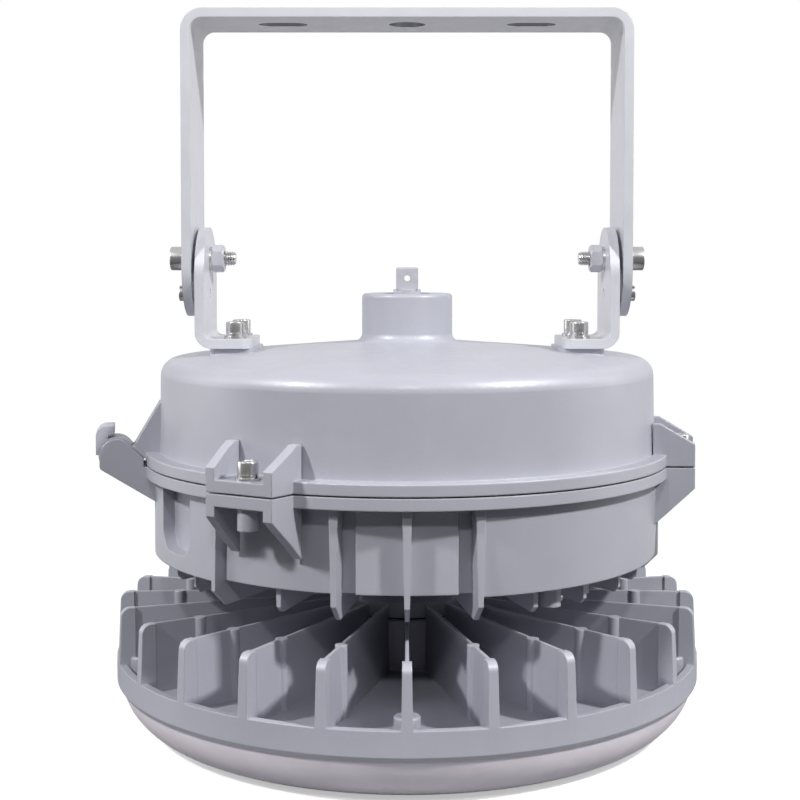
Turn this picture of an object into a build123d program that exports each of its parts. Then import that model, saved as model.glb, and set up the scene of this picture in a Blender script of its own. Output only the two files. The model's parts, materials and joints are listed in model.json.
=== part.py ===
from build123d import *
import math
import os

# Explosion-proof LED light on a tilting stirrup.
# Millimetres, +Z up. The origin is the centre of the stirrup bar's top face.
# An azimuth is measured about Z from the front (-Y), positive towards +X.

# Stirrup
strap_width = 53.0
strap_thickness = 5.0
stirrup_inner_width = 229.2
pivot_drop = 132.0
stirrup_bend_radius = 6.5
leg_tail_length = 31.5
fixing_slot_spacing = 135.0
fixing_slot_length = 27.0
fixing_slot_width = 14.0
centre_hole_radius = 10.0
running_clearance = 0.05
tilt_range = 60.0
lock_radius = 19.0

# Foot brackets
bracket_gap = 1.8
bracket_rise = 17.0
bracket_drop = 48.0
bracket_bend_radius = 4.0
foot_inner_reach = 83.0
foot_corner_radius = 5.0
foot_bolt_reach = 92.5
foot_bolt_spacing = 30.0

# Fasteners, by thread radius
pivot_thread_radius = 4.0
pivot_head_radius = 6.5
pivot_head_height = 6.6
pivot_nut_across_flats = 13.0
pivot_nut_height = 6.6
pivot_thread_end = 6.0
lock_thread_radius = 2.5
lock_head_radius = 4.25
lock_head_height = 5.0
bolt_thread_radius = 3.0
bolt_head_radius = 5.0
bolt_head_height = 6.0
small_thread_radius = 2.0
small_head_radius = 3.6
small_head_height = 2.6
hole_clearance = 0.4
thread_clearance = 0.1
washer_clearance = 0.25
spring_washer_height = 1.6
spring_washer_gap = 1.2
washer_height = 1.4
spring_washer_rim = 1.9
washer_rim = 3.0
head_edge = 0.6
socket_depth_share = 0.55
nut_chamfer = 0.9
thread_end_gap = 1.0
head_recess = 1.0
merge_depth = 1.0

# Top cover
cover_height = 60.4
drum_projection = 2.3
drum_draft = 1.0
drum_edge_height = 54.4
drum_crown_height = 63.6
drum_edge_radius = 9.0
cover_wall = 4.5
flange_projection = 10.7
cover_flange_thickness = 5.8
boss_radius = 24.7
boss_height = 89.4
boss_base_radius = 4.5
boss_top_radius = 2.0
entry_radius = 13.0
pad_half_width = 24.5
pad_inner_reach = 81.0
pad_outer_reach = 105.5
pad_depth = 8.0
foot_bolt_depth = 12.0

# Entry plug
plug_thread_length = 16.0
plug_collar_radius = 7.5
plug_collar_height = 2.2
plug_square = 12.0
plug_square_height = 12.0
plug_eye_radius = 1.65

# Bolt lugs, by azimuth
lug_azimuths = (-30.0, 81.0, -169.0)
lug_projection = 13.3
lug_face_half_width = 18.8
lug_root_half_width = 20.3
lug_gusset = 5.0
lug_gusset_top = 22.0
lug_gusset_tip = 11.5
lug_gusset_top_run = 3.7
lower_lug_depth = 33.8
lower_lug_tip_depth = 11.5
closure_bolt_inset = 7.5
closure_boss_radius = 5.0
closure_boss_depth = 11.0

# Hinge
hinge_azimuth = -80.0
hinge_projection = 15.1
hinge_rise = 5.3
hinge_pin_radius = 3.0
hinge_ear_radius = 8.6
hinge_ear_thickness = 5.0
hinge_ear_gap = 18.0
hinge_side_clearance = 0.3
hinge_ear_root_depth = 24.2
hinge_ear_drop = 6.7
hinge_ear_corner = 2.5
hinge_ear_heel = 2.0
hinge_flange_gap = 1.0
hinge_pin_cover = 1.6
hinge_knuckle_radius = 9.3
hinge_arm_top = 32.2
hinge_arm_thickness = 6.0
hook_reach = 10.6
hook_rise = 15.2
hook_tip_inset = 1.0
hook_thickness = 4.6
hook_throat = 4.2
hook_corner = 5.5

# Driver housing
seam_gap = 0.8
gasket_width = 4.0
gasket_inset = 1.5
housing_flange_thickness = 5.8
housing_radius = 131.0
housing_wall = 4.5
housing_depth = 47.6
housing_floor = 5.0
rib_count = 25
rib_projection = 6.0
rib_top_thickness = 4.7
rib_low_thickness = 2.3
rib_drop = 12.5
rib_corner = 7.5
rib_inner_reach = 62.0
rib_inner_drop = 5.0
short_rib_inset = 4.0
short_rib_corner = 2.5
short_rib_numbers = (-11, -5, -4, -2, 2, 3, 4, 5)
right_panel_top_projection = 5.5
right_panel_low_projection = 3.7
right_panel_drop = 0.8
right_panel_end = 79.0
left_panel_rib = 3
left_panel_end = 86.0
pocket_azimuth = -58.6
pocket_half_width = 17.3
pocket_inset = 1.5
pocket_bottom = 8.0
pocket_corner = 10.0
strip_inset = 2.8
strip_start = 10.5
neck_radius = 25.0
neck_curve_reach_share = 0.2
neck_curve_drop_share = 0.35
neck_flare_radius = 58.0
neck_flange_radius = 41.0
neck_flange_thickness = 8.0
neck_bore_radius = 9.0
neck_bolt_circle = 32.0
neck_bolt_count = 4
neck_bolt_grip = 12.0

# Earth terminal, under the right side of the housing
earth_azimuth = 35.0
earth_inset = 10.0
earth_boss_radius = 5.0
earth_boss_flat = 3.5
earth_boss_length = 12.0
earth_screw_drop = 8.5
earth_thread_radius = 1.5
earth_head_radius = 2.2
earth_head_height = 2.4
earth_washer_radius = 2.9
earth_washer_height = 0.8
earth_thread_length = 6.0
tab_rib = 3
tab_width = 4.6
tab_thickness = 3.0
tab_length = 8.5
tab_inset = 7.0

# Heatsink
heatsink_gap = 25.4
fin_height = 29.4
fin_count = rib_count
fin_inset = 1.2
web_top_thickness = 1.6
web_root_thickness = 3.6
fin_end_inset = 8.4
fin_end_top_thickness = 4.4
fin_end_root_thickness = 5.6
fin_corner_radius = 4.5
fin_bead_radius = 3.0
fin_bead_reach = 124.5
hub_radius = 44.0
hub_overlap = 1.0
hub_drop = 8.0
rim_radius = 157.4
rim_thickness = 4.0
base_recess = 5.0
base_thickness = 4.5
band_height = 14.8
band_taper_height = 2.6
band_taper_run = 1.8
band_low_edge = 2.2
rim_boss_inset = 11.4
rim_boss_radius = 6.2
rim_boss_rise = 3.8
rim_boss_edge = 1.2
rim_boss_count = 5

# Light source and diffuser
board_radius = 118.0
board_thickness = 1.6
chip_size = 5.0
chip_thickness = 0.8
chip_first_ring = 40.0
chip_ring_step = 26.0
chip_ring_count = 3
chip_spacing = 25.5
board_screw_circle = 106.0
board_screw_count = 6
reflector_radius = 126.0
reflector_thickness = 1.0
reflector_gap = 0.3
reflector_hole_clearance = 1.0
lead_hole_radius = 6.0
diffuser_drop = 23.6
diffuser_wall = 3.0
diffuser_flat_radius = 126.0
diffuser_spigot_height = 4.0
diffuser_step = 0.8
seal_width = 0.8
seal_height = 1.0

# Driver, terminal block and lead
driver_length = 130.0
driver_width = 60.0
driver_height = 34.0
driver_edge_radius = 3.0
driver_foot_length = 10.0
driver_foot_thickness = 3.0
driver_pad_height = 4.0
driver_pad_radius = 6.0
driver_offset = -50.0
terminal_length = 48.0
terminal_width = 20.0
terminal_height = 18.0
terminal_offset = 50.0
terminal_ways = 4
terminal_way_radius = 2.6
terminal_way_depth = 9.0
terminal_screw_spacing = 38.0
lead_radius = 3.5
lead_bend_radius = 15.0
lead_rise = 24.0

# Heights worked out from the sizes above
pivot_z = -pivot_drop
foot_bottom_z = pivot_z - bracket_drop
foot_top_z = foot_bottom_z + strap_thickness
seam_z = foot_bottom_z - cover_height
housing_top_z = seam_z - seam_gap
boss_top_z = seam_z + boss_height
floor_z = seam_z - housing_depth
cavity_floor_z = floor_z + housing_floor
rib_bottom_z = floor_z - rib_drop
fin_top_z = floor_z - heatsink_gap
rim_top_z = fin_top_z - fin_height
base_top_z = rim_top_z - base_recess
base_bottom_z = base_top_z - base_thickness
band_bottom_z = rim_top_z - band_height
diffuser_bottom_z = band_bottom_z - diffuser_drop
hub_top_z = fin_top_z - hub_drop
fin_inner_reach = hub_radius - hub_overlap
hinge_z = seam_z + hinge_rise
flange_low_z = housing_top_z - housing_flange_thickness
lock_z = pivot_z - lock_radius

# Reaches along X worked out from the stirrup's width
leg_inner_x = stirrup_inner_width / 2
leg_outer_x = leg_inner_x + strap_thickness
bracket_outer_x = leg_inner_x - bracket_gap
bracket_inner_x = bracket_outer_x - strap_thickness
rib_pitch = 360.0 / rib_count

# Reaches from the axis worked out from the housing and the rim
drum_radius = housing_radius + drum_projection
flange_radius = housing_radius + flange_projection
gasket_inner_radius = housing_radius - gasket_inset
rib_reach = housing_radius + rib_projection
short_rib_reach = housing_radius - short_rib_inset
right_panel_top_radius = housing_radius + right_panel_top_projection
right_panel_low_radius = housing_radius + right_panel_low_projection
pocket_reach = housing_radius - pocket_inset
strip_radius = housing_radius - strip_inset
lug_reach = flange_radius + lug_projection
lug_gusset_top_reach = drum_radius + lug_gusset_top_run
closure_bolt_reach = lug_reach - closure_bolt_inset
hinge_reach = flange_radius + hinge_projection
wall_middle = housing_radius - housing_wall / 2
earth_reach = housing_radius - earth_inset
rim_inner_radius = rim_radius - rim_thickness
rim_boss_reach = rim_radius - rim_boss_inset
fin_reach = rim_radius - fin_inset
fin_end_reach = rim_radius - fin_end_inset
band_low_radius = rim_radius - band_taper_run
band_inner_radius = band_low_radius - band_low_edge
spigot_radius = band_inner_radius - seal_width

radial_plane = Plane(origin=(0, 0, 0), x_dir=(0, -1, 0), z_dir=(-1, 0, 0))
FAR = 500.0


def turned(azimuth):
    """Place a feature built at the front round the axis of the lamp."""
    return Rot(0, 0, azimuth)


def radial_plate(points, thickness):
    """A flat plate in a plane through the axis; its points are (reach, height)."""
    outline = make_face(Polyline(*points, close=True))
    return extrude(radial_plane * outline, thickness / 2, both=True)


def tapered_plate(outline, low, high, low_thickness, high_thickness):
    """A radial plate whose thickness changes evenly between two heights, as a mould needs."""
    section = make_face(Polyline(
        (-low_thickness / 2, low),
        (low_thickness / 2, low),
        (high_thickness / 2, high),
        (-high_thickness / 2, high),
        close=True,
    ))
    wedge = extrude(Plane.XZ * section, FAR)
    widest = max(low_thickness, high_thickness)
    return wedge & extrude(radial_plane * outline, widest, both=True)


def turned_body(points):
    """A solid of revolution about Z; its points are (radius, height)."""
    return revolve(Plane.XZ * make_face(Polyline(*points, close=True)), Axis.Z)


def rod(radius, low, high):
    """An upright cylinder between two heights."""
    return Pos(0, 0, low) * Cylinder(radius, high - low, align=(Align.CENTER, Align.CENTER, Align.MIN))


def tube(radius, bore, low, high):
    return rod(radius, low, high) - rod(bore, low, high)


def circles(shape, radius, height=None):
    """The circular edges of one radius, at any height or at the one given."""
    found = [edge for edge in shape.edges().filter_by(GeomType.CIRCLE) if abs(edge.radius - radius) < 0.01]
    if height is None:
        return found
    return [edge for edge in found if abs(edge.center().Z - height) < 0.01]


def block(x_size, y_size, low, high):
    """An upright block, centred in plan, between two heights."""
    return Pos(0, 0, low) * Box(x_size, y_size, high - low, align=(Align.CENTER, Align.CENTER, Align.MIN))


def socket_screw(thread_radius, head_radius, head_height, grip):
    """A cap screw that points down, with the underside of its head at the origin."""
    head = rod(head_radius, 0, head_height)
    head = chamfer(head.edges().group_by(Axis.Z)[-1], head_edge)
    depth = head_height * socket_depth_share
    socket = extrude(RegularPolygon(thread_radius, 6), depth)
    return head + rod(thread_radius, -grip, 0) - Pos(0, 0, head_height - depth) * socket


def plain_washer(thread_radius):
    """A flat washer that stands on the origin."""
    return tube(thread_radius + washer_rim, thread_radius + washer_clearance, 0, washer_height)


def spring_washer(thread_radius):
    """A split spring washer that stands on the origin."""
    outer = thread_radius + spring_washer_rim
    ring = tube(outer, thread_radius + washer_clearance, 0, spring_washer_height)
    split = Pos(outer / 2, 0, 0) * block(outer, spring_washer_gap, 0, spring_washer_height)
    return ring - split


def mirrored_pair(shape):
    """The same piece at the right (+X) and, turned half a turn, at the left."""
    return [shape, Rot(0, 0, 180) * shape]


def save(name, pieces):
    """Write one sub-part, which is one solid or a group of separate solids."""
    solids = pieces if isinstance(pieces, list) else [pieces]
    shape = Compound(children=[s for piece in solids for s in piece.solids()])
    export_step(shape if len(shape.solids()) > 1 else shape.solids()[0], f"parts/{name}.step")


# Stirrup: one folded strap with full-round leg tails

def stirrup():
    outer_width = stirrup_inner_width + 2 * strap_thickness
    leg_length = pivot_drop + leg_tail_length
    outer = Pos(0, -leg_length / 2) * Rectangle(outer_width, leg_length)
    outer = fillet(outer.vertices().group_by(Axis.Y)[-1], stirrup_bend_radius + strap_thickness)
    inner = Pos(0, -strap_thickness - leg_length / 2) * Rectangle(stirrup_inner_width, leg_length)
    inner = fillet(inner.vertices().group_by(Axis.Y)[-1], stirrup_bend_radius)
    strap = extrude(Plane.XZ * (outer - inner), strap_width / 2, both=True)

    tail_radius = strap_width / 2
    tail_centre_z = -leg_length + tail_radius
    side = Pos(0, tail_centre_z / 2) * Rectangle(strap_width, -tail_centre_z)
    side += Pos(0, tail_centre_z) * Circle(tail_radius)
    strap &= extrude(Plane.YZ * side, outer_width, both=True)

    strap -= Pos(0, 0, -strap_thickness) * rod(centre_hole_radius, 0, strap_thickness)
    for side_sign in (-1, 1):
        slot = SlotOverall(fixing_slot_length, fixing_slot_width)
        slot_place = Pos(side_sign * fixing_slot_spacing / 2, 0, -strap_thickness)
        strap -= slot_place * extrude(slot, strap_thickness)

    pivot_hole = Circle(pivot_thread_radius + running_clearance)
    lock_width = 2 * (lock_thread_radius + hole_clearance)
    lock_end = math.degrees(hole_clearance / lock_radius)
    arc = CenterArc((0, 0), lock_radius, 270 - tilt_range - lock_end, 2 * (tilt_range + lock_end))
    lock_slot = SlotArc(arc, lock_width)
    side_holes = Plane.YZ * Pos(0, pivot_z) * (pivot_hole + lock_slot)
    return strap - extrude(side_holes, outer_width, both=True)


# Foot brackets: folded angle plates, full round at the top

def foot_bracket():
    """The bracket at the right (+X)."""
    top_z = pivot_z + bracket_rise
    reach = bracket_outer_x - foot_inner_reach
    height = top_z - foot_bottom_z
    outer = Pos(foot_inner_reach + reach / 2, foot_bottom_z + height / 2) * Rectangle(reach, height)
    corner = outer.vertices().sort_by(Axis.X)[-2:].sort_by(Axis.Y)[0]
    outer = fillet(corner, bracket_bend_radius + strap_thickness)
    inner = Pos(bracket_inner_x - reach / 2, foot_top_z + height / 2) * Rectangle(reach, height)
    corner = inner.vertices().sort_by(Axis.X)[-2:].sort_by(Axis.Y)[0]
    inner = fillet(corner, bracket_bend_radius)
    plate = extrude(Plane.XZ * (outer - inner), strap_width / 2, both=True)

    head_radius = strap_width / 2
    head_centre_z = top_z - head_radius
    height = head_centre_z - foot_bottom_z
    side = Pos(0, foot_bottom_z + height / 2) * Rectangle(strap_width, height)
    side += Pos(0, head_centre_z) * Circle(head_radius)
    plate &= extrude(Plane.YZ * side, bracket_outer_x)

    corners = plate.edges().filter_by(Axis.Z).group_by(Axis.X)[0]
    plate = fillet(corners, foot_corner_radius)
    side_holes = Pos(0, pivot_z) * Circle(pivot_thread_radius + thread_clearance)
    side_holes += Pos(0, lock_z) * Circle(lock_thread_radius + thread_clearance)
    plate -= extrude(Plane.YZ * side_holes, bracket_outer_x)
    for spot in foot_bolt_spots():
        plate -= spot * rod(bolt_thread_radius + hole_clearance, foot_bottom_z, foot_top_z)
    return plate


def foot_bolt_spots():
    """The two bolts of the right foot, at the foot's height in plan only."""
    return [Pos(foot_bolt_reach, sign * foot_bolt_spacing / 2, 0) for sign in (-1, 1)]


# Pivot and lock fasteners, all along X at the right side

def along_x(x_place, height):
    """Turn a piece built along +Z so that it points outwards (+X) at a height."""
    return Pos(x_place, 0, height) * Rot(0, 90, 0)


def pivot_fasteners():
    washer_x = leg_outer_x + running_clearance
    spring_x = washer_x + washer_height
    head_x = spring_x + spring_washer_height
    nut_washer_x = bracket_inner_x - washer_height
    nut_x = nut_washer_x - pivot_nut_height
    bolt_end_x = nut_x - pivot_thread_end
    bolt = socket_screw(pivot_thread_radius, pivot_head_radius, pivot_head_height, head_x - bolt_end_x)
    save("pivot_bolts", mirrored_pair(along_x(head_x, pivot_z) * bolt))
    outer_washer = tube(pivot_head_radius, pivot_thread_radius + washer_clearance, 0, washer_height)
    save("pivot_washers", mirrored_pair(along_x(washer_x, pivot_z) * outer_washer))
    split = spring_washer(pivot_thread_radius)
    save("pivot_spring_washers", mirrored_pair(along_x(spring_x, pivot_z) * split))
    spacer_bore = pivot_thread_radius + washer_clearance
    spacer = tube(pivot_thread_radius + washer_rim, spacer_bore, 0, bracket_gap - running_clearance)
    save("pivot_spacers", mirrored_pair(along_x(bracket_outer_x, pivot_z) * spacer))
    nut_washer = tube(pivot_head_radius, pivot_thread_radius + washer_clearance, 0, washer_height)
    save("pivot_nut_washers", mirrored_pair(along_x(nut_washer_x, pivot_z) * nut_washer))
    nut = extrude(RegularPolygon(pivot_nut_across_flats / 2, 6, major_radius=False), pivot_nut_height)
    corners = rod(pivot_nut_across_flats / math.sqrt(3), 0, pivot_nut_height)
    nut &= chamfer(corners.edges().filter_by(GeomType.CIRCLE), nut_chamfer)
    nut -= rod(pivot_thread_radius + thread_clearance, 0, pivot_nut_height)
    save("pivot_nuts", mirrored_pair(along_x(nut_x, pivot_z) * nut))
    lock_grip = running_clearance + strap_thickness + bracket_gap + strap_thickness
    lock = socket_screw(lock_thread_radius, lock_head_radius, lock_head_height, lock_grip)
    save("lock_screws", mirrored_pair(along_x(washer_x, lock_z) * lock))


def stacked_bolts(spots, seat_z, grip, prefix):
    """Cap bolts with a spring washer and a flat washer, standing on a seat."""
    washer = Pos(0, 0, seat_z) * plain_washer(bolt_thread_radius)
    spring = Pos(0, 0, seat_z + washer_height) * spring_washer(bolt_thread_radius)
    head_z = seat_z + washer_height + spring_washer_height
    bolt = socket_screw(bolt_thread_radius, bolt_head_radius, bolt_head_height, head_z - seat_z + grip)
    bolt = Pos(0, 0, head_z) * bolt
    save(prefix + "_washers", [spot * washer for spot in spots])
    save(prefix + "_spring_washers", [spot * spring for spot in spots])
    save(prefix + "_bolts", [spot * bolt for spot in spots])


# Bolt lugs and the hinge, shared by the cover and the housing

def lug_plan(low, high):
    """The block that a lug is cut from: wide at the ring, narrower at its face."""
    points = [
        (-lug_root_half_width, -drum_radius),
        (-lug_root_half_width, -flange_radius),
        (-lug_face_half_width, -lug_reach),
        (lug_face_half_width, -lug_reach),
        (lug_root_half_width, -flange_radius),
        (lug_root_half_width, -drum_radius),
    ]
    return Pos(0, 0, low) * extrude(make_face(Polyline(*points, close=True)), high - low)


def lug_inner_plan(low, high):
    """The space between the two gussets of a lug."""
    face = lug_face_half_width - lug_gusset
    root = lug_root_half_width - lug_gusset
    points = [(-root, -drum_radius + FAR), (-root, -flange_radius), (-face, -lug_reach), (-face, -FAR)]
    points += [(face, -FAR), (face, -lug_reach), (root, -flange_radius), (root, -drum_radius + FAR)]
    return Pos(0, 0, low) * extrude(make_face(Polyline(*points, close=True)), high - low)


def closure_spots():
    return [turned(azimuth) * Pos(0, -closure_bolt_reach, 0) for azimuth in lug_azimuths]


def upper_lug():
    """The cover's lug: a plate with two gussets that rise to the drum."""
    plate_top = seam_z + cover_flange_thickness
    side = [
        (drum_radius - cover_wall, seam_z),
        (lug_reach, seam_z),
        (lug_reach, seam_z + lug_gusset_tip),
        (lug_gusset_top_reach, seam_z + lug_gusset_top),
        (drum_radius - cover_wall, seam_z + lug_gusset_top),
    ]
    gussets = lug_plan(seam_z, seam_z + lug_gusset_top) - lug_inner_plan(plate_top, seam_z + lug_gusset_top)
    return gussets & radial_plate(side, FAR)


def lower_lug():
    """The housing's lug: a plate, two triangular gussets and a threaded boss."""
    low = seam_z - lower_lug_depth
    side = [
        (wall_middle, housing_top_z),
        (lug_reach, housing_top_z),
        (lug_reach, seam_z - lower_lug_tip_depth),
        (housing_radius, low),
        (wall_middle, low),
    ]
    lug = (lug_plan(low, housing_top_z) - lug_inner_plan(low, flange_low_z)) & radial_plate(side, FAR)
    boss = rod(closure_boss_radius, flange_low_z - closure_boss_depth, flange_low_z)
    return lug + Pos(0, -closure_bolt_reach, 0) * boss


def hinge_ear():
    """One of the housing's ears, in the plane through the axis."""
    shoulder = hinge_ear_radius / math.sqrt(2)
    side = make_face(Polyline(
        (wall_middle, seam_z - hinge_ear_root_depth),
        (hinge_reach + hinge_ear_radius, hinge_z - hinge_ear_drop),
        (hinge_reach + hinge_ear_radius, hinge_z),
        (hinge_reach - shoulder, hinge_z + shoulder),
        (flange_radius + hinge_flange_gap, hinge_z - hinge_ear_heel),
        (flange_radius + hinge_flange_gap, housing_top_z),
        (wall_middle, housing_top_z),
        close=True,
    ))
    low_corner = side.vertices().sort_by(Axis.X)[-2:].sort_by(Axis.Y)[0]
    outline = fillet(low_corner, hinge_ear_corner) + Pos(hinge_reach, hinge_z) * Circle(hinge_ear_radius)
    return extrude(radial_plane * outline, hinge_ear_thickness / 2, both=True)


def hinge_pin_form(radius):
    """The pin goes in from the rear and stops inside the front ear."""
    half = hinge_ear_gap / 2 + hinge_ear_thickness
    pin = Pos(-half, 0, 0) * Rot(0, 90, 0) * rod(radius, 0, 2 * half - hinge_pin_cover)
    return Pos(0, -hinge_reach, hinge_z) * pin


def hinge_ears():
    offset = (hinge_ear_gap + hinge_ear_thickness) / 2
    bore = hinge_pin_form(hinge_pin_radius + thread_clearance)
    return [Pos(sign * offset, 0, 0) * hinge_ear() - bore for sign in (-1, 1)]


def hinge_knuckle():
    """The cover's knuckle: a hook round the pin, and two gussets that tie it to the drum."""
    inner = drum_radius - cover_wall / 2
    arm_low_z = seam_z + cover_flange_thickness / 2
    arm = make_face(Polyline(
        (inner, seam_z + hinge_arm_top),
        (drum_radius + drum_draft, seam_z + hinge_arm_top),
        (hinge_reach - hinge_knuckle_radius, hinge_z + hinge_knuckle_radius / 2),
        (hinge_reach, hinge_z),
        (flange_radius, arm_low_z),
        (inner, arm_low_z),
        close=True,
    ))
    hook = make_face(Polyline(
        (hook_throat, 0),
        (hook_reach, 0),
        (hook_reach, hook_rise),
        (hook_tip_inset, hook_rise),
        (hook_tip_inset, hook_rise - hook_thickness),
        (hook_throat, hook_rise - hook_thickness),
        close=True,
    ))
    hook = fillet(hook.vertices().group_by(Axis.Y)[-1].sort_by(Axis.X)[-1], hook_corner)
    barrel = Pos(hinge_reach, hinge_z) * (Circle(hinge_knuckle_radius) + hook)
    barrel_half = hinge_ear_gap / 2 - hinge_side_clearance
    knuckle = extrude(radial_plane * barrel, barrel_half, both=True)
    offset = barrel_half - hinge_arm_thickness / 2
    for sign in (-1, 1):
        plate = extrude(radial_plane * arm, hinge_arm_thickness / 2, both=True)
        knuckle += Pos(sign * offset, 0, 0) * plate
    return knuckle - hinge_pin_form(hinge_pin_radius + thread_clearance)


# Top cover: a cast drum with a conduit boss, foot pads, lugs and the knuckle

def cover_shell():
    drum_low = drum_radius + drum_draft
    edge_z = seam_z + drum_edge_height
    crown_z = seam_z + drum_crown_height
    shell = turned_body([
        (0, seam_z),
        (drum_low, seam_z),
        (drum_radius, edge_z),
        (boss_radius, crown_z),
        (0, crown_z),
    ])
    shell = fillet(circles(shell, drum_radius, edge_z), drum_edge_radius)
    return shell + rod(flange_radius, seam_z, seam_z + cover_flange_thickness)


def cover_cavity():
    inner_radius = drum_radius - cover_wall
    cavity = turned_body([
        (0, seam_z),
        (inner_radius, seam_z),
        (inner_radius, seam_z + drum_edge_height - cover_wall),
        (boss_radius, seam_z + drum_crown_height - cover_wall),
        (0, seam_z + drum_crown_height - cover_wall),
    ])
    edge = circles(cavity, inner_radius, seam_z + drum_edge_height - cover_wall)
    return fillet(edge, drum_edge_radius - cover_wall)


def foot_pad():
    """A flat cast pad at the right, level with the underside of the foot."""
    width = pad_outer_reach - pad_inner_reach
    pad = block(width, 2 * pad_half_width, foot_bottom_z - pad_depth, foot_bottom_z)
    pad = fillet(pad.edges().filter_by(Axis.Z), foot_corner_radius)
    return Pos((pad_inner_reach + pad_outer_reach) / 2, 0, 0) * pad


def top_cover():
    cover = cover_shell()
    crown_z = seam_z + drum_crown_height
    cover += rod(boss_radius, crown_z - cover_wall, boss_top_z)
    base = [edge for edge in circles(cover, boss_radius) if edge.center().Z < crown_z + merge_depth]
    cover = fillet(base, boss_base_radius)
    cover = fillet(circles(cover, boss_radius, boss_top_z), boss_top_radius)
    cover = fillet(circles(cover, flange_radius, seam_z + cover_flange_thickness), head_edge)
    for pad in mirrored_pair(foot_pad()):
        cover += pad
    for azimuth in lug_azimuths:
        cover += turned(azimuth) * upper_lug()
    cover += turned(hinge_azimuth) * hinge_knuckle()
    cover -= cover_cavity()
    # Cast bosses under the pads take the foot bolts
    boss_low_z = foot_bottom_z - foot_bolt_depth
    for spot in foot_bolt_spots():
        boss_radius_here = bolt_thread_radius + cover_wall
        boss = spot * rod(boss_radius_here, boss_low_z - cover_wall, foot_bottom_z - cover_wall)
        hole = spot * rod(bolt_thread_radius + thread_clearance, boss_low_z, foot_bottom_z)
        for half_turn in (0, 180):
            cover += Rot(0, 0, half_turn) * boss
        for half_turn in (0, 180):
            cover -= Rot(0, 0, half_turn) * hole
    cover -= rod(entry_radius, crown_z - 2 * cover_wall, boss_top_z)
    for spot in closure_spots():
        hole = rod(bolt_thread_radius + hole_clearance, seam_z, seam_z + lug_gusset_top)
        cover -= spot * hole
    return cover


def entry_plug():
    """A threaded plug with a collar and a drilled square head."""
    body_radius = entry_radius - thread_clearance
    plug = rod(body_radius, boss_top_z - plug_thread_length, boss_top_z - boss_top_radius)
    collar_top = boss_top_z + plug_collar_height
    plug += rod(plug_collar_radius, boss_top_z - boss_top_radius, collar_top)
    square = block(plug_square, plug_square, collar_top, collar_top + plug_square_height)
    square = chamfer(square.edges().group_by(Axis.Z)[-1], head_edge)
    plug += square
    eye_z = collar_top + plug_square_height / 2
    return plug - Pos(0, 0, eye_z) * Rot(90, 0, 0) * Cylinder(plug_eye_radius, plug_square)


# Driver housing: a cast ribbed bowl on a central neck

def housing_bowl():
    return turned_body([
        (0, floor_z),
        (housing_radius, floor_z),
        (housing_radius, flange_low_z),
        (flange_radius, flange_low_z),
        (flange_radius, housing_top_z),
        (0, housing_top_z),
    ])


def housing_neck():
    """The flared column under the floor, with the flange that sits on the hub."""
    neck_low = hub_top_z + seam_gap
    flange_top = neck_low + neck_flange_thickness
    flare = neck_flare_radius - neck_radius
    drop = floor_z - flange_top
    column = Polyline((0, floor_z), (neck_flare_radius, floor_z))
    curve = ThreePointArc(
        (neck_flare_radius, floor_z),
        (neck_radius + flare * neck_curve_reach_share, floor_z - drop * neck_curve_drop_share),
        (neck_radius, flange_top),
    )
    rest = Polyline((neck_radius, flange_top), (neck_flange_radius, flange_top),
                    (neck_flange_radius, neck_low), (0, neck_low), (0, floor_z))
    return revolve(Plane.XZ * make_face(column + curve + rest), Axis.Z)


def housing_rib(reach, corner, root, root_top):
    """One rib from the neck to its reach; its root is inside the wall or the floor."""
    side = make_face(Polyline(
        (root, root_top),
        (reach, root_top),
        (reach, rib_bottom_z + corner),
        (reach - corner, rib_bottom_z),
        (rib_inner_reach, floor_z - rib_inner_drop),
        (neck_radius, floor_z - rib_inner_drop),
        (neck_radius, floor_z + merge_depth),
        (root, floor_z + merge_depth),
        close=True,
    ))
    top = flange_low_z + merge_depth
    return tapered_plate(side, rib_bottom_z, top, rib_low_thickness, rib_top_thickness)


def long_rib():
    """A rib that also runs up the wall to the flange."""
    return housing_rib(rib_reach, rib_corner, wall_middle, flange_low_z + merge_depth)


def short_rib():
    """A rib under the floor only."""
    middle = (neck_radius + short_rib_reach) / 2
    return housing_rib(short_rib_reach, short_rib_corner, middle, floor_z + 2 * merge_depth)


def wall_panel(start, end, low_radius, top_radius, low_z):
    """A smooth stretch of wall that stands proud between two azimuths."""
    face = Plane.XZ * make_face(Polyline(
        (wall_middle, low_z),
        (low_radius, low_z),
        (top_radius, flange_low_z + merge_depth),
        (wall_middle, flange_low_z + merge_depth),
        close=True,
    ))
    panel = revolve(face, Axis.Z, revolution_arc=end - start)
    return Rot(0, 0, start - 90) * panel


def panel_pocket():
    """The pocket in the left panel, with two round lower corners."""
    low = floor_z + pocket_bottom
    height = flange_low_z - low
    face = Pos(0, low + height / 2) * Rectangle(2 * pocket_half_width, height)
    face = fillet(face.vertices().group_by(Axis.Y)[0], pocket_corner)
    cut = Pos(0, -pocket_reach, 0) * extrude(Plane.XZ * face, rib_reach - pocket_reach + merge_depth)
    return turned(pocket_azimuth) * cut


def wall_strip():
    """The shallow recess in the wall from the front block to the rib beside it."""
    face = Plane.XZ * make_face(Polyline(
        (strip_radius, floor_z - merge_depth),
        (housing_radius + merge_depth, floor_z - merge_depth),
        (housing_radius + merge_depth, flange_low_z),
        (strip_radius, flange_low_z),
        close=True,
    ))
    return revolve(face, Axis.Z, revolution_arc=rib_pitch - strip_start)


def housing_cavity():
    radius = gasket_inner_radius - gasket_width
    return rod(radius, cavity_floor_z, housing_top_z)


def driver_feet_spots():
    reach = driver_length / 2 + driver_foot_length / 2
    return [Pos(x_sign * reach, driver_offset + y_sign * driver_width / 4, 0)
            for x_sign in (-1, 1) for y_sign in (-1, 1)]


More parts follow.
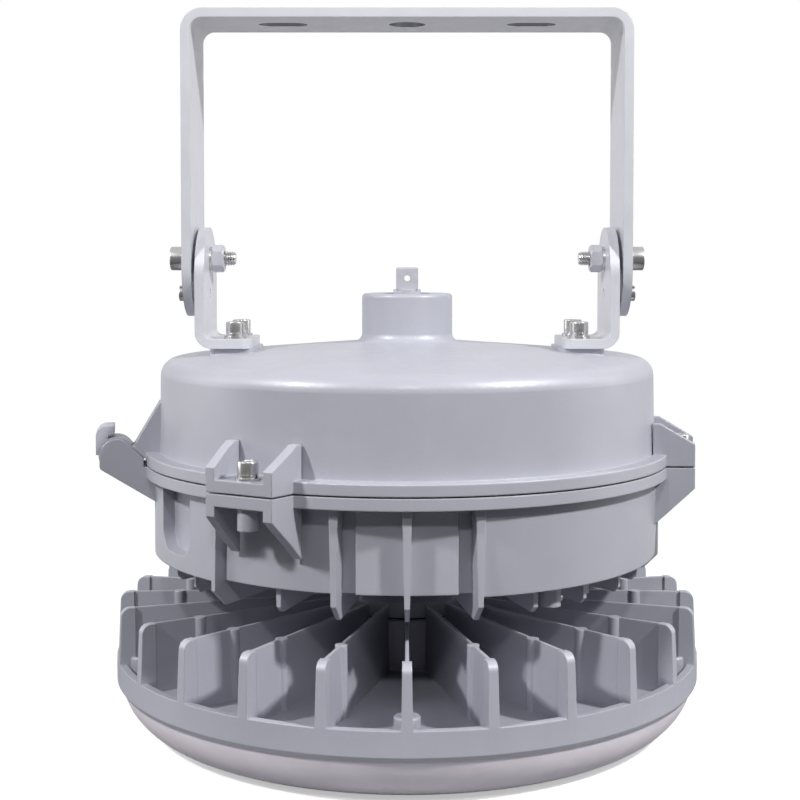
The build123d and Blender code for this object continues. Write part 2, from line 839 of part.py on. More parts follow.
def terminal_screw_spots():
    return [Pos(sign * terminal_screw_spacing / 2, terminal_offset, 0) for sign in (-1, 1)]


def neck_bolt_spots():
    step = 360 / neck_bolt_count
    azimuths = [step / 2 + step * index for index in range(neck_bolt_count)]
    return [turned(azimuth) * Pos(0, -neck_bolt_circle, 0) for azimuth in azimuths]


def driver_housing():
    housing = housing_bowl() + housing_neck()
    for start in (strip_start, -rib_pitch):
        housing -= Rot(0, 0, start - 90) * wall_strip()
    housing += wall_panel(rib_pitch, right_panel_end, right_panel_low_radius, right_panel_top_radius,
                          floor_z - right_panel_drop)
    housing += wall_panel(-left_panel_end, -left_panel_rib * rib_pitch, rib_reach, rib_reach, floor_z)
    housing -= panel_pocket()
    for number in range(-(rib_count // 2), rib_count // 2 + 1):
        rib = short_rib() if number in short_rib_numbers else long_rib()
        housing += turned(number * rib_pitch) * rib
    for azimuth in lug_azimuths:
        housing += turned(azimuth) * lower_lug()
    for ear in hinge_ears():
        housing += turned(hinge_azimuth) * ear
    housing -= housing_cavity()

    pad_low = cavity_floor_z - housing_floor / 2
    pad_top = cavity_floor_z + driver_pad_height
    for spot in driver_feet_spots() + terminal_screw_spots():
        housing += spot * rod(driver_pad_radius, pad_low, pad_top)
    for spot in driver_feet_spots() + terminal_screw_spots():
        housing -= spot * rod(small_thread_radius + thread_clearance, cavity_floor_z, pad_top)

    neck_low = hub_top_z + seam_gap
    housing -= rod(neck_bore_radius, neck_low, cavity_floor_z)
    for spot in neck_bolt_spots():
        housing -= spot * rod(bolt_thread_radius + thread_clearance, neck_low, neck_low + neck_bolt_grip)
    for spot in closure_spots():
        hole_low = flange_low_z - closure_boss_depth
        housing -= spot * rod(bolt_thread_radius + thread_clearance, hole_low, housing_top_z)
    return housing + earth_boss() + earth_tab()


def cover_gasket():
    outer = gasket_inner_radius + gasket_width
    return tube(outer, gasket_inner_radius, housing_top_z, seam_z)


def hinge_pin():
    return turned(hinge_azimuth) * hinge_pin_form(hinge_pin_radius)


def small_screw(grip):
    """A small pan head screw that points down from the origin."""
    head = rod(small_head_radius, 0, small_head_height)
    head = chamfer(head.edges().group_by(Axis.Z)[-1], head_edge)
    return head + rod(small_thread_radius, -grip, 0)


# Earth terminal: a cast boss with one flat side, a screw in it, and a cast tab beside a rib

def earth_place():
    """The middle of the boss's flat side, with +Z out of it."""
    height = floor_z - earth_screw_drop
    return turned(earth_azimuth) * Pos(earth_boss_flat, -earth_reach, height) * Rot(0, 90, 0)


def earth_boss():
    low = floor_z - earth_boss_length
    high = floor_z + merge_depth
    width = 2 * earth_boss_radius
    boss = rod(earth_boss_radius, low, high)
    boss -= Pos(earth_boss_flat + earth_boss_radius, 0, 0) * block(width, width, low, floor_z)
    boss = turned(earth_azimuth) * Pos(0, -earth_reach, 0) * boss
    return boss - earth_place() * rod(earth_thread_radius + thread_clearance, -earth_thread_length, 0)


def earth_tab():
    reach = housing_radius - tab_inset
    tab = block(tab_width, tab_thickness, floor_z - tab_length, floor_z + merge_depth)
    return turned(tab_rib * rib_pitch) * Pos(tab_width / 2, -reach, 0) * tab


def earth_terminal():
    bore = earth_thread_radius + thread_clearance
    save("earth_washer", earth_place() * tube(earth_washer_radius, bore, 0, earth_washer_height))
    head = rod(earth_head_radius, 0, earth_head_height)
    head = chamfer(head.edges().group_by(Axis.Z)[-1], head_edge)
    screw = head + rod(earth_thread_radius, thread_end_gap - earth_thread_length - earth_washer_height, 0)
    save("earth_screw", earth_place() * Pos(0, 0, earth_washer_height) * screw)


# Heatsink: a cast disc with radial fins between its hub and its rim band

def fin(has_bead):
    """One fin at the front: a thin web, a bead on it and a thick end with a round corner."""
    side = make_face(Polyline(
        (fin_inner_reach, base_bottom_z),
        (rim_radius, base_bottom_z),
        (rim_radius, rim_top_z),
        (fin_reach, fin_top_z),
        (fin_inner_reach, fin_top_z),
        close=True,
    ))
    side = fillet(side.vertices().group_by(Axis.Y)[-1].sort_by(Axis.X)[-1], fin_corner_radius)
    blade = tapered_plate(side, base_bottom_z, fin_top_z, web_root_thickness, web_top_thickness)
    thick = tapered_plate(side, base_bottom_z, fin_top_z, fin_end_root_thickness, fin_end_top_thickness)
    blade += thick - rod(fin_end_reach, base_bottom_z, fin_top_z)
    if has_bead:
        blade += Pos(0, -fin_bead_reach, 0) * rod(fin_bead_radius, base_top_z, fin_top_z)
    return blade


def heatsink():
    sink = turned_body([
        (0, base_bottom_z),
        (band_inner_radius, base_bottom_z),
        (band_inner_radius, band_bottom_z),
        (band_low_radius, band_bottom_z),
        (rim_radius, band_bottom_z + band_taper_height),
        (rim_radius, rim_top_z),
        (rim_inner_radius, rim_top_z),
        (rim_inner_radius, base_top_z),
        (hub_radius, base_top_z),
        (hub_radius, hub_top_z),
        (0, hub_top_z),
    ])
    boss_step = fin_count // rim_boss_count
    plain_fin = fin(False)
    beaded_fin = fin(True)
    blades = []
    for index in range(fin_count):
        blade = beaded_fin if index % boss_step else plain_fin
        blades.append(turned(index * rib_pitch) * blade)
    sink += blades
    boss = rod(rim_boss_radius, base_top_z, rim_top_z + rim_boss_rise)
    boss = fillet(boss.edges().group_by(Axis.Z)[-1], rim_boss_edge)
    boss = Pos(0, -rim_boss_reach, 0) * boss
    sink += [turned(index * boss_step * rib_pitch) * boss for index in range(rim_boss_count)]

    sink -= rod(neck_bore_radius, base_bottom_z, hub_top_z)
    head_depth = bolt_head_height + head_recess
    counterbore = rod(bolt_head_radius + hole_clearance, base_bottom_z, base_bottom_z + head_depth)
    hole = counterbore + rod(bolt_thread_radius + hole_clearance, base_bottom_z, hub_top_z)
    for spot in neck_bolt_spots():
        sink -= spot * hole
    for spot in board_screw_spots():
        sink -= spot * rod(small_thread_radius + thread_clearance, base_bottom_z, base_top_z - merge_depth)
    return sink


def neck_gasket():
    ring = tube(neck_flange_radius, neck_bore_radius, hub_top_z, hub_top_z + seam_gap)
    for spot in neck_bolt_spots():
        ring -= spot * rod(bolt_thread_radius + hole_clearance, hub_top_z, hub_top_z + seam_gap)
    return ring


def neck_bolts():
    seat_z = base_bottom_z + bolt_head_height + head_recess
    grip = hub_top_z + seam_gap + neck_bolt_grip - thread_end_gap - seat_z
    bolt = socket_screw(bolt_thread_radius, bolt_head_radius, bolt_head_height, grip)
    return [spot * Pos(0, 0, seat_z) * Rot(180, 0, 0) * bolt for spot in neck_bolt_spots()]


# Light source

def board_screw_spots():
    step = 360 / board_screw_count
    return [turned(step * index) * Pos(0, -board_screw_circle, 0) for index in range(board_screw_count)]


def led_board():
    board = rod(board_radius, base_bottom_z - board_thickness, base_bottom_z)
    board -= rod(lead_hole_radius, base_bottom_z - board_thickness, base_bottom_z)
    hole = rod(small_thread_radius + hole_clearance, base_bottom_z - board_thickness, base_bottom_z)
    for spot in board_screw_spots():
        board -= spot * hole
    return board


def chip_spots():
    """Rings of chips at an even spacing, half a step away from the front."""
    spots = []
    for ring in range(chip_ring_count):
        radius = chip_first_ring + ring * chip_ring_step
        count = round(2 * math.pi * radius / chip_spacing)
        step = 360 / count
        spots += [turned(step / 2 + index * step) * Pos(0, -radius, 0) for index in range(count)]
    return spots


def led_chips():
    top_z = base_bottom_z - board_thickness
    chip = block(chip_size, chip_size, top_z - chip_thickness, top_z)
    return [spot * chip for spot in chip_spots()]


def reflector():
    """A white sheet under the board with a hole for each chip."""
    top_z = base_bottom_z - board_thickness - reflector_gap
    low_z = top_z - reflector_thickness
    sheet = rod(reflector_radius, low_z, top_z)
    hole_size = chip_size + 2 * reflector_hole_clearance
    holes = [spot * block(hole_size, hole_size, low_z, top_z) for spot in chip_spots()]
    screw_hole = rod(small_thread_radius + hole_clearance, low_z, top_z)
    holes += [spot * screw_hole for spot in board_screw_spots()]
    holes.append(rod(lead_hole_radius, low_z, top_z))
    return sheet - holes


def board_screws():
    seat_z = base_bottom_z - board_thickness - reflector_gap - reflector_thickness
    grip = base_top_z - merge_depth - thread_end_gap - seat_z
    screw = Pos(0, 0, seat_z) * Rot(180, 0, 0) * small_screw(grip)
    return [spot * screw for spot in board_screw_spots()]


# Diffuser: a frosted bowl with a flat bottom and a spigot in the rim band

def bowl_form(edge_radius, bottom_z, corner):
    """A solid bowl: flat bottom, then one arc that meets it and rises to the edge."""
    rise = band_bottom_z - bottom_z
    reach = edge_radius - diffuser_flat_radius
    arc_radius = (reach ** 2 + rise ** 2) / (2 * rise)
    angle = math.atan2(reach, arc_radius - rise)
    middle = (
        diffuser_flat_radius + arc_radius * math.sin(angle / 2),
        bottom_z + arc_radius * (1 - math.cos(angle / 2)),
    )
    curve = ThreePointArc((diffuser_flat_radius, bottom_z), middle, (edge_radius, band_bottom_z))
    rest = Polyline((edge_radius, band_bottom_z), (edge_radius, corner), (0, corner),
                    (0, bottom_z), (diffuser_flat_radius, bottom_z))
    return revolve(Plane.XZ * make_face(curve + rest), Axis.Z)


def diffuser():
    top_z = band_bottom_z + diffuser_spigot_height
    outer = bowl_form(band_low_radius - diffuser_step, diffuser_bottom_z, band_bottom_z + seal_height)
    outer -= rod(FAR, band_bottom_z, band_bottom_z + seal_height)
    outer += rod(spigot_radius, band_bottom_z - diffuser_wall, top_z)
    inner = bowl_form(spigot_radius - diffuser_wall, diffuser_bottom_z + diffuser_wall, top_z)
    return outer - inner


def diffuser_seal():
    return tube(band_inner_radius, spigot_radius, band_bottom_z, band_bottom_z + diffuser_spigot_height)


# Driver, terminal block and the lead to the light source

def driver():
    low_z = cavity_floor_z + driver_pad_height
    case = block(driver_length, driver_width, low_z, low_z + driver_height)
    case = fillet(case.edges().filter_by(Axis.Z), driver_edge_radius)
    foot = block(driver_length + 2 * driver_foot_length, driver_width, low_z, low_z + driver_foot_thickness)
    case = Pos(0, driver_offset, 0) * (case + foot)
    for spot in driver_feet_spots():
        case -= spot * rod(small_thread_radius + hole_clearance, low_z, low_z + driver_foot_thickness)
    return case


def driver_screws():
    seat_z = cavity_floor_z + driver_pad_height + driver_foot_thickness
    screw = small_screw(driver_foot_thickness + driver_pad_height - thread_end_gap)
    return [spot * Pos(0, 0, seat_z) * screw for spot in driver_feet_spots()]


def terminal_block():
    low_z = cavity_floor_z + driver_pad_height
    body = block(terminal_length, terminal_width, low_z, low_z + terminal_height)
    pitch = (terminal_screw_spacing - 2 * small_head_radius) / terminal_ways
    top_z = low_z + terminal_height
    for index in range(terminal_ways):
        x_place = (index - (terminal_ways - 1) / 2) * pitch
        body -= Pos(x_place, 0, 0) * rod(terminal_way_radius, top_z - terminal_way_depth, top_z)
    body = Pos(0, terminal_offset, 0) * body
    seat_z = low_z + driver_foot_thickness
    for spot in terminal_screw_spots():
        body -= spot * rod(small_head_radius + hole_clearance, seat_z, top_z)
        body -= spot * rod(small_thread_radius + hole_clearance, low_z, seat_z)
    return body


def terminal_screws():
    seat_z = cavity_floor_z + driver_pad_height + driver_foot_thickness
    screw = small_screw(driver_foot_thickness + driver_pad_height - thread_end_gap)
    return [spot * Pos(0, 0, seat_z) * screw for spot in terminal_screw_spots()]


def led_lead():
    """The lead from the driver's side, down the neck to the light source."""
    start = (0, driver_offset + driver_width / 2, cavity_floor_z + driver_pad_height + lead_rise)
    corner = (0, 0, start[2])
    end = (0, 0, base_bottom_z - board_thickness)
    path = FilletPolyline(start, corner, end, radius=[lead_bend_radius])
    return sweep(Plane(origin=start, z_dir=(0, 1, 0)) * Circle(lead_radius), path)


os.makedirs("parts", exist_ok=True)

save("stirrup", stirrup())
right_bracket = foot_bracket()
save("right_foot_bracket", right_bracket)
save("left_foot_bracket", Rot(0, 0, 180) * right_bracket)
pivot_fasteners()
both_feet = foot_bolt_spots() + [Rot(0, 0, 180) * spot for spot in foot_bolt_spots()]
stacked_bolts(both_feet, foot_top_z, strap_thickness + foot_bolt_depth - thread_end_gap, "foot")
lug_seat_z = seam_z + cover_flange_thickness
closure_grip = lug_seat_z - flange_low_z + closure_boss_depth - thread_end_gap
stacked_bolts(closure_spots(), lug_seat_z, closure_grip, "closure")

save("top_cover", top_cover())
save("entry_plug", entry_plug())
save("cover_gasket", cover_gasket())
save("driver_housing", driver_housing())
save("hinge_pin", hinge_pin())
earth_terminal()
save("heatsink", heatsink())
save("neck_gasket", neck_gasket())
save("neck_bolts", neck_bolts())
save("led_board", led_board())
save("led_chips", led_chips())
save("board_screws", board_screws())
save("reflector", reflector())
save("diffuser", diffuser())
save("diffuser_seal", diffuser_seal())
save("driver", driver())
save("driver_screws", driver_screws())
save("led_lead", led_lead())
save("terminal_block", terminal_block())
save("terminal_screws", terminal_screws())
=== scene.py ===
import json
import math

import bmesh
import bpy
from mathutils import Matrix, Vector

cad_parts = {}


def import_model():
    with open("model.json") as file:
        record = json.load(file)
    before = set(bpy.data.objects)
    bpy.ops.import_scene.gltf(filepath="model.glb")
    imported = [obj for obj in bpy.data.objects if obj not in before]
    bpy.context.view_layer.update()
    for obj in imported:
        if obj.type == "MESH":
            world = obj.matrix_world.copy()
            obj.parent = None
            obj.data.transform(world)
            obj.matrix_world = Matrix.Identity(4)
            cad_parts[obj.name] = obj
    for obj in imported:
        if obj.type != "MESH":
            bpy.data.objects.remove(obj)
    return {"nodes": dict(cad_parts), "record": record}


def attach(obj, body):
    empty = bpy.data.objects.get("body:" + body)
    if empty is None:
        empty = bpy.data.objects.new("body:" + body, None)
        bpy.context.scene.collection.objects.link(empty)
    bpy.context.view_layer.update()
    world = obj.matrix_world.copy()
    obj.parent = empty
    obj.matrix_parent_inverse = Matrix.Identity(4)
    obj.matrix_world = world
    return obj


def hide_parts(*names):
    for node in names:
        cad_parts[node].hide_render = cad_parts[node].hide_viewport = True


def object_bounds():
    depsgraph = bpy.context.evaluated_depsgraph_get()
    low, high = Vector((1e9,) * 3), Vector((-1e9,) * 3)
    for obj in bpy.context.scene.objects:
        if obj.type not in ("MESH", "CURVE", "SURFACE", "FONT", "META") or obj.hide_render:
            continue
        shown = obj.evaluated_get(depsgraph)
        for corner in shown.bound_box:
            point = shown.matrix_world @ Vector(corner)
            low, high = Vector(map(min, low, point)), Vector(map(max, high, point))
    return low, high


# Explosion-proof LED light: finishes, screws with real threads, studio and camera.
# Metres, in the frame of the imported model: the origin is the centre of the stirrup bar's top face.

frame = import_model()
cad_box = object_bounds()


def linear(value):
    """An sRGB value from 0 to 255 as a linear one from 0 to 1."""
    share = value / 255
    return share / 12.92 if share <= 0.04045 else ((share + 0.055) / 1.055) ** 2.4


def colour(red, green, blue):
    return (linear(red), linear(green), linear(blue), 1.0)


# The photograph's camera, found from the seam, the rim, the feet and the bar
PHOTO_SIZE = 800
FOCAL_PIXELS = 1460.0
PRINCIPAL_POINT = (407.14, 317.7)
CAMERA_DISTANCE = 0.8003
CAMERA_HEIGHT = -0.1324
CAMERA_PITCH = 0.04
SENSOR_WIDTH = 36.0

# Screws, by nominal size: thread radius, pitch, head radius, head height
M8 = (0.004, 0.00125, 0.0065, 0.0066)
M6 = (0.003, 0.001, 0.005, 0.006)
M5 = (0.0025, 0.0008, 0.00425, 0.005)
ROUND_STEPS = 64
THREAD_STEPS = 8
# The thread's form: its depth in pitches, and how steep the flanks are and how wide the flat crest is
THREAD_DEPTH_SHARE = 0.61
FLANK_STEEPNESS = 1.15
CREST_SHARE = 0.05
# The thread's ends, in pitches: the tip's bevel, how far in its face is, and the bare shank's start
TIP_HEIGHT = 0.6
TIP_INSET = 0.75
SHANK_START = 0.5
# Over its first turn the thread grows from this share of its full height, with this depth to grow
FIRST_TURN_START = 0.55
FIRST_TURN_DEPTH = 0.9
# The head: its rounded top edge as a share of its radius, and the bevel at its foot as one of that edge
HEAD_EDGE_SHARE = 0.12
HEAD_FOOT_SHARE = 0.3
HEAD_EDGE_TURNS = (0.3, 0.6, 0.85)
# The hexagon socket: its depth and its mouth's bevel as shares of the head's height, and the mouth's flare
SOCKET_DEPTH_SHARE = 0.55
SOCKET_BEVEL_SHARE = 0.08
SOCKET_FLARE = 1.10
SHARP_ANGLE = 38
MERGE_DISTANCE = 1e-6

# Tones of the object
COAT_TONE = colour(181, 182, 192)
STRAP_TONE = colour(214, 214, 221)
STEEL_TONE = colour(214, 213, 212)
SPECK_TONE = colour(128, 129, 134)
EDGE_TONE = colour(215, 216, 220)
FROSTED_DARK = colour(228, 222, 227)
FROSTED_LIGHT = colour(235, 229, 234)
# Painted shade: the walls of the slots and of the round hole in the stirrup's bar are coloured dark,
# standing in for the shade that falls inside them
SLOT_SHADE_TONE = colour(78, 79, 84)
SLOT_SHADE_LOW = (-0.095, -0.0125, -0.0047)
SLOT_SHADE_HIGH = (0.095, 0.0125, -0.0003)

# The powder coat's features: sizes in metres, and how much of the specks and of the worn edges shows
MOTTLE_SIZE = 0.03
MOTTLE_DARK = 0.965
MOTTLE_LIGHT = 1.025
SPECK_SIZE = 0.00045
SPECK_SHARE = 0.09
EDGE_SHARE = 0.35
SHEEN_SIZE = 0.006
PEEL_SIZE = 0.0011
WAVE_SIZE = 0.009
WAVE_HEIGHT = 1.6
# The cosine between the rounded and the true normal where an edge starts to show, and where it is full
EDGE_COSINES = (0.995, 0.85)
NOISE_RANGE = (0.3, 0.7)
# How dark the darker patches of steel and of plastic are
PATCH_SHARE = 0.93
STEEL_EDGE_RADIUS = 0.00025
PLAIN_EDGE_RADIUS = 0.0003
FROSTED_EDGE_RADIUS = 0.0004

# The floor: what it shows the camera, and what it gives back to the object, which is more
# near it, for the bowl, and little further out
FLOOR_RADIUS = 0.55
FLOOR_CORNERS = 96
FLOOR_FADE_START = 0.45
FLOOR_LIFT = 0.45
FLOOR_WHITE = (0.86, 0.86, 0.87, 1)
NEAR_FLOOR_TONE = (0.33, 0.33, 0.35, 1)
FAR_FLOOR_TONE = (0.04, 0.04, 0.05, 1)
NEAR_FLOOR_RADIUS = 0.19
FAR_FLOOR_RADIUS = 0.30

# The world, each: where the climb starts and ends, as the cosine to its direction, and the
# strength at both ends; the one for gloss starts with its direction
UP = (0, 0, 1)
BACK = (0, 1, 0)
WORLD_ABOVE = (-0.25, 0.9, 0, 0.08)
WORLD_BEHIND = (-0.3, 0.6, 0, 0.32)
GLOSS_WORLD = ((0, 0.6, 0.8), -0.6, 0.6, 0.20, 0.75)

# The lamps, each: azimuth from the front and elevation in degrees, side in metres, power in watts
LAMP_CENTRE = (0, 0, -0.25)
LAMP_DISTANCE = 1.5
LAMPS = {
    "left_lamp": (-54, 37, 0.10, 13.6),
    "right_lamp": (53, 39, 0.10, 19.0),
    "front_lamp": (0, 36, 0.10, 3.4),
    "left_screen": (-95, 15, 0.90, 6.0),
    "right_screen": (95, 15, 0.90, 4.5),
}


# Materials

def shaded(tone, share):
    """A tone made darker or lighter."""
    return tuple(share * c for c in tone[:3]) + (1,)


class Nodes:
    """A material's node tree, with short calls for its nodes and links."""

    def __init__(self, name):
        self.material = bpy.data.materials.new(name)
        self.material.use_nodes = True
        self.tree = self.material.node_tree
        self.shader = self.tree.nodes["Principled BSDF"]
        coordinates = self.tree.nodes.new("ShaderNodeTexCoord")
        self.place = coordinates.outputs["Object"]

    def add(self, kind, **values):
        node = self.tree.nodes.new(kind)
        for key, value in values.items():
            setattr(node, key, value)
        return node

    def join(self, output, node_input):
        self.tree.links.new(output, node_input)

    def noise(self, size, detail):
        """Noise with features of one size in metres."""
        noise = self.add("ShaderNodeTexNoise")
        noise.inputs["Scale"].default_value = 1 / size
        noise.inputs["Detail"].default_value = detail
        self.join(self.place, noise.inputs["Vector"])
        return noise.outputs["Fac"]

    def ranged(self, value, low, high):
        """Noise, which mostly keeps to its middle, spread from low to high."""
        spread = self.add("ShaderNodeMapRange")
        spread.inputs["From Min"].default_value = NOISE_RANGE[0]
        spread.inputs["From Max"].default_value = NOISE_RANGE[1]
        spread.inputs["To Min"].default_value = low
        spread.inputs["To Max"].default_value = high
        self.join(value, spread.inputs["Value"])
        return spread.outputs["Result"]

    def mix(self, share, first, second):
        """A blend of two colours, each written out or the output of another node."""
        blend = self.add("ShaderNodeMix", data_type="RGBA")
        for name, value in (("A", first), ("B", second)):
            if isinstance(value, tuple):
                blend.inputs[name].default_value = value
            else:
                self.join(value, blend.inputs[name])
        self.join(share, blend.inputs["Factor"])
        return blend.outputs["Result"]

    def bump(self, height, distance, strength, below):
        bump = self.add("ShaderNodeBump")
        bump.inputs["Strength"].default_value = strength
        bump.inputs["Distance"].default_value = distance
        self.join(height, bump.inputs["Height"])
        self.join(below, bump.inputs["Normal"])
        return bump.outputs["Normal"]

    def rounded_edges(self, radius):
        bevel = self.add("ShaderNodeBevel", samples=4)
        bevel.inputs["Radius"].default_value = radius
        return bevel.outputs["Normal"]

    def edge_share(self, normal, strength):
        """How far the rounded normal leaves the true one: 0 on faces, up to the strength on edges."""
        geometry = self.add("ShaderNodeNewGeometry")
        dot = self.add("ShaderNodeVectorMath", operation="DOT_PRODUCT")
        self.join(normal, dot.inputs[0])
        self.join(geometry.outputs["Normal"], dot.inputs[1])
        share = self.add("ShaderNodeMapRange")
        share.inputs["From Min"].default_value = EDGE_COSINES[0]
        share.inputs["From Max"].default_value = EDGE_COSINES[1]
        share.inputs["To Max"].default_value = strength
        self.join(dot.outputs["Value"], share.inputs["Value"])
        return share.outputs["Result"]

    def inside_box(self, low, high):
        """1 where a point of the surface lies between two corners, and 0 elsewhere."""
        split = self.add("ShaderNodeSeparateXYZ")
        self.join(self.place, split.inputs["Vector"])
        share = None
        for axis in range(3):
            middle = (low[axis] + high[axis]) / 2
            near = self.add("ShaderNodeMath", operation="COMPARE")
            near.inputs[1].default_value = middle
            near.inputs[2].default_value = high[axis] - middle
            self.join(split.outputs[axis], near.inputs[0])
            if share is None:
                share = near.outputs["Value"]
                continue
            both = self.add("ShaderNodeMath", operation="MULTIPLY")
            self.join(share, both.inputs[0])
            self.join(near.outputs["Value"], both.inputs[1])
            share = both.outputs["Value"]
        return share

    def set(self, **values):
        for key, value in values.items():
            self.shader.inputs[key.replace("_", " ")].default_value = value

    def surface(self, tint, roughness, normal):
        """Link what varies over the surface to the shader."""
        self.join(tint, self.shader.inputs["Base Color"])
        self.join(roughness, self.shader.inputs["Roughness"])
        self.join(normal, self.shader.inputs["Normal"])
        return self.material


def coat(name, tone, edge_radius, peel, roughness, metallic, painted_slot_shade=False):
    """Silver-grey powder coat: fine orange peel, a faint mottle and lighter edges."""
    nodes = Nodes(name)
    mottle = nodes.mix(nodes.ranged(nodes.noise(MOTTLE_SIZE, 4), 0, 1),
                       shaded(tone, MOTTLE_DARK), shaded(tone, MOTTLE_LIGHT))
    speck = nodes.mix(nodes.ranged(nodes.noise(SPECK_SIZE, 1), 0, SPECK_SHARE), mottle, SPECK_TONE)
    edges = nodes.rounded_edges(edge_radius)
    tint = nodes.mix(nodes.edge_share(edges, EDGE_SHARE), speck, EDGE_TONE)
    # Painted shade: a box in object coordinates darkens the walls of the bar's slots and hole
    if painted_slot_shade:
        tint = nodes.mix(nodes.inside_box(SLOT_SHADE_LOW, SLOT_SHADE_HIGH), tint, SLOT_SHADE_TONE)
    sheen = nodes.ranged(nodes.noise(SHEEN_SIZE, 3), roughness - 0.04, roughness + 0.05)
    grain = nodes.bump(nodes.noise(PEEL_SIZE, 1.5), peel, 0.6, edges)
    grain = nodes.bump(nodes.noise(WAVE_SIZE, 2), peel * WAVE_HEIGHT, 0.5, grain)
    nodes.set(Metallic=metallic, Coat_Weight=0.12, Coat_Roughness=0.22)
    return nodes.surface(tint, sheen, grain)


def steel(name, tone, roughness, metallic=1.0):
    """Bright turned or plated steel, a little uneven in tone and gloss."""
    nodes = Nodes(name)
    tint = nodes.mix(nodes.ranged(nodes.noise(0.004, 2), 0, 1), shaded(tone, PATCH_SHARE), tone)
    sheen = nodes.ranged(nodes.noise(0.003, 2), roughness - 0.03, roughness + 0.04)
    grain = nodes.bump(nodes.noise(0.0006, 1), 0.000002, 0.4, nodes.rounded_edges(STEEL_EDGE_RADIUS))
    nodes.set(Metallic=metallic)
    return nodes.surface(tint, sheen, grain)


def plain(name, tone, roughness, grain_size, grain_height):
    """A moulded or printed surface: faint mottle and a fine grain."""
    nodes = Nodes(name)
    tint = nodes.mix(nodes.ranged(nodes.noise(grain_size * 8, 3), 0, 1), shaded(tone, PATCH_SHARE), tone)
    sheen = nodes.ranged(nodes.noise(grain_size * 4, 2), roughness - 0.04, roughness + 0.06)
    edges = nodes.rounded_edges(PLAIN_EDGE_RADIUS)
    return nodes.surface(tint, sheen, nodes.bump(nodes.noise(grain_size, 2), grain_height, 0.6, edges))


def frosted(name):
    """Frosted polycarbonate: milky, with a soft gloss and a fine even grain."""
    nodes = Nodes(name)
    tint = nodes.mix(nodes.ranged(nodes.noise(0.02, 3), 0, 1), FROSTED_DARK, FROSTED_LIGHT)
    sheen = nodes.ranged(nodes.noise(0.003, 2), 0.36, 0.44)
    edges = nodes.rounded_edges(FROSTED_EDGE_RADIUS)
    nodes.set(Subsurface_Weight=0.25, Subsurface_Radius=(0.006, 0.006, 0.006), Subsurface_Scale=0.5)
    return nodes.surface(tint, sheen, nodes.bump(nodes.noise(0.0006, 2), 0.00002, 0.5, edges))


finishes = {
    # The strap's coat carries painted shade on the walls of the bar's slots and hole
    "grey_coat": coat("grey_coat", STRAP_TONE, 0.0006, 0.00002, 0.36, 0.20, painted_slot_shade=True),
    "cast_grey": coat("cast_grey", COAT_TONE, 0.0009, 0.00004, 0.43, 0.10),
    "stainless": steel("stainless", STEEL_TONE, 0.24),
    "plug_metal": steel("plug_metal", colour(204, 204, 212), 0.40, metallic=0.4),
    "seal_rubber": plain("seal_rubber", colour(58, 58, 60), 0.72, 0.0006, 0.00003),
    "frosted": frosted("frosted"),
    "board": plain("board", colour(236, 236, 232), 0.42, 0.0008, 0.00001),
    "chip": plain("chip", colour(236, 206, 92), 0.38, 0.0004, 0.00001),
    "white_sheet": plain("white_sheet", colour(240, 240, 237), 0.55, 0.0008, 0.00001),
    "driver_case": plain("driver_case", colour(70, 71, 74), 0.45, 0.0007, 0.00003),
    "white_plastic": plain("white_plastic", colour(226, 222, 210), 0.40, 0.0007, 0.00002),
    "lead_jacket": plain("lead_jacket", colour(62, 62, 64), 0.50, 0.0007, 0.00002),
}

for part in frame["record"]["subparts"]:
    node = frame["nodes"][part["node"]]
    node.data.materials.clear()
    node.data.materials.append(finishes[part["material_slot"]])


# Screws with threads and sockets, in place of the plain ones

def ring(bm, radius_at, height):
    """A ring of points at one height; radius_at gives the radius at each angle."""
    points = []
    for step in range(ROUND_STEPS):
        angle = 2 * math.pi * step / ROUND_STEPS
        radius = radius_at(angle)
        points.append(bm.verts.new((radius * math.cos(angle), radius * math.sin(angle), height)))
    return points


def skin(bm, rings):
    """Join each ring to the next and close both ends."""
    for lower, upper in zip(rings, rings[1:]):
        for step in range(ROUND_STEPS):
            after = (step + 1) % ROUND_STEPS
            bm.faces.new((lower[step], lower[after], upper[after], upper[step]))
    bm.faces.new(rings[0][::-1])
    bm.faces.new(rings[-1])


def thread_radius_at(radius, pitch, height):
    """The radius round a thread at one height: a rounded triangle that climbs one pitch a turn."""
    depth = THREAD_DEPTH_SHARE * pitch

    def at(angle):
        share = (height / pitch - angle / (2 * math.pi)) % 1.0
        slope = abs(2 * share - 1)
        return radius - depth * min(1.0, max(0.0, FLANK_STEEPNESS * slope - CREST_SHARE))

    return at


def hexagon_radius(across_corners):
    """The radius round a hexagon, given half of its width across the corners."""
    def at(angle):
        sector = (angle % (math.pi / 3)) - math.pi / 6
        return across_corners * math.cos(math.pi / 6) / math.cos(sector)

    return at


def even(radius):
    return lambda angle: radius


